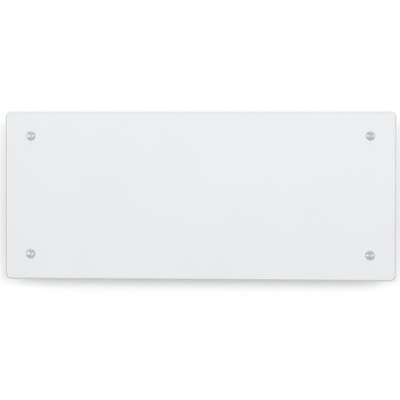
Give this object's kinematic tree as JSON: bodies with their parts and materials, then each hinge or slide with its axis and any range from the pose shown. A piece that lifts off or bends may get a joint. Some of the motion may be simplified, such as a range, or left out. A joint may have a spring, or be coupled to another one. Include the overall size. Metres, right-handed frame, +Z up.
{
  "type": "electric panel heater",
  "caption": "Wall-hung electric panel heater: a white bevelled glass front on polished round caps, over a shallow steel casing with a top grille, controls and a wall bracket.",
  "frame": {"origin": "on the wall, in the middle of the bracket's four screw holes", "axes": "+X to the right as seen from the room, +Y into the wall, +Z up"},
  "size_m": [0.785, 0.091, 0.34],
  "materials": {
    "white_glass": "back-painted white, polished edges",
    "cap_metal": "polished",
    "clear_plastic": "clear",
    "white_nylon": "moulded",
    "zinc_screws": "bright zinc",
    "standoff_metal": "satin turned",
    "white_powder_coat": "fine powder coat",
    "rear_powder_coat": "fine powder coat",
    "grille_plastic": "fine texture",
    "element_aluminium": "mill finish",
    "rod_steel": "heat-darkened",
    "insulator_ceramic": "unglazed",
    "galvanised_sheet": "galvanised",
    "aluminium_rivets": "plain",
    "shield_sheet": "bright rolled",
    "black_rubber": "moulded",
    "buffer_rubber": "moulded",
    "cutout_ceramic": "dark",
    "pod_plastic": "fine texture",
    "pod_tray_plastic": "moulded",
    "smoked_lens": "polished, smoked",
    "display_plastic": "moulded",
    "board_laminate": "lacquered",
    "relay_plastic": "moulded",
    "switch_plastic": "moulded",
    "rocker_plastic": "moulded",
    "gland_plastic": "moulded",
    "terminal_plastic": "moulded",
    "stud_brass": "plain",
    "sensor_steel": "drawn",
    "lead_silicone": "silicone sleeve",
    "bracket_zinc": "galvanised",
    "lever_nylon": "moulded",
    "button_plastic": "fine texture"
  },
  "bodies": {
    "heater": {"glass_panel": "white_glass", "cap_washers": "clear_plastic", "glass_bushes": "white_nylon", "glass_gaskets": "white_nylon", "standoff_screws": "zinc_screws", "front_casing": "white_powder_coat", "rear_panel": "rear_powder_coat", "rear_panel_screws": "zinc_screws", "outlet_grille": "grille_plastic", "heating_element": "element_aluminium", "heating_rod": "rod_steel", "element_insulator_left": "insulator_ceramic", "element_insulator_right": "insulator_ceramic", "element_bracket_left": "galvanised_sheet", "element_bracket_right": "galvanised_sheet", "element_rivets": "aluminium_rivets", "heat_shield": "shield_sheet", "lead_grommets": "black_rubber", "thermal_cutout": "cutout_ceramic", "cutout_flange": "galvanised_sheet", "pod_cover": "pod_plastic", "pod_housing": "pod_tray_plastic", "display_lens": "smoked_lens", "display_module": "display_plastic", "push_switches": "display_plastic", "control_board": "board_laminate", "power_relay": "relay_plastic", "lead_connector": "white_nylon", "switch_frame": "switch_plastic", "cable_gland": "gland_plastic", "gland_nut": "gland_plastic", "terminal_block": "terminal_plastic", "earth_stud": "stud_brass", "earth_nut": "stud_brass", "sensor_grommet": "black_rubber", "room_sensor": "sensor_steel", "internal_leads": "lead_silicone", "wall_bracket": "bracket_zinc", "lever_rivets": "zinc_screws", "wall_buffer_left": "buffer_rubber", "wall_buffer_right": "buffer_rubber", "fixing_cap_top_left": "cap_metal", "standoff_top_left": "standoff_metal", "fixing_cap_top_right": "cap_metal", "standoff_top_right": "standoff_metal", "fixing_cap_bottom_left": "cap_metal", "standoff_bottom_left": "standoff_metal", "fixing_cap_bottom_right": "cap_metal", "standoff_bottom_right": "standoff_metal"},
    "lever_left": {"lock_lever_left": "lever_nylon"},
    "lever_right": {"lock_lever_right": "lever_nylon"},
    "rocker": {"switch_rocker": "rocker_plastic"},
    "key_minus": {"button_minus": "button_plastic"},
    "key_plus": {"button_plus": "button_plastic"},
    "key_mode": {"button_mode": "button_plastic"}
  },
  "joints": [
    {"name": "lock_left_turn", "type": "hinge", "parent": "heater", "child": "lever_left", "pos_m": [-0.18, -0.0102, 0.118], "axis": [0, -1, 0], "range_deg": [0, 90]},
    {"name": "lock_right_turn", "type": "hinge", "parent": "heater", "child": "lever_right", "pos_m": [0.18, -0.0102, 0.118], "axis": [0, 1, 0], "range_deg": [0, 90]},
    {"name": "rocker_tilt", "type": "hinge", "parent": "heater", "child": "rocker", "pos_m": [0.3699, -0.046, 0.06], "axis": [0, -1, 0], "range_deg": [0, 24]},
    {"name": "minus_press", "type": "slide", "parent": "heater", "child": "key_minus", "axis": [0, 0, -1], "range_m": [0, 0.0009], "stiffness_N_per_m": 300, "springref_m": -0.001},
    {"name": "plus_press", "type": "slide", "parent": "heater", "child": "key_plus", "axis": [0, 0, -1], "range_m": [0, 0.0009], "stiffness_N_per_m": 300, "springref_m": -0.001},
    {"name": "mode_press", "type": "slide", "parent": "heater", "child": "key_mode", "axis": [0, 0, -1], "range_m": [0, 0.0009], "stiffness_N_per_m": 300, "springref_m": -0.001}
  ]
}
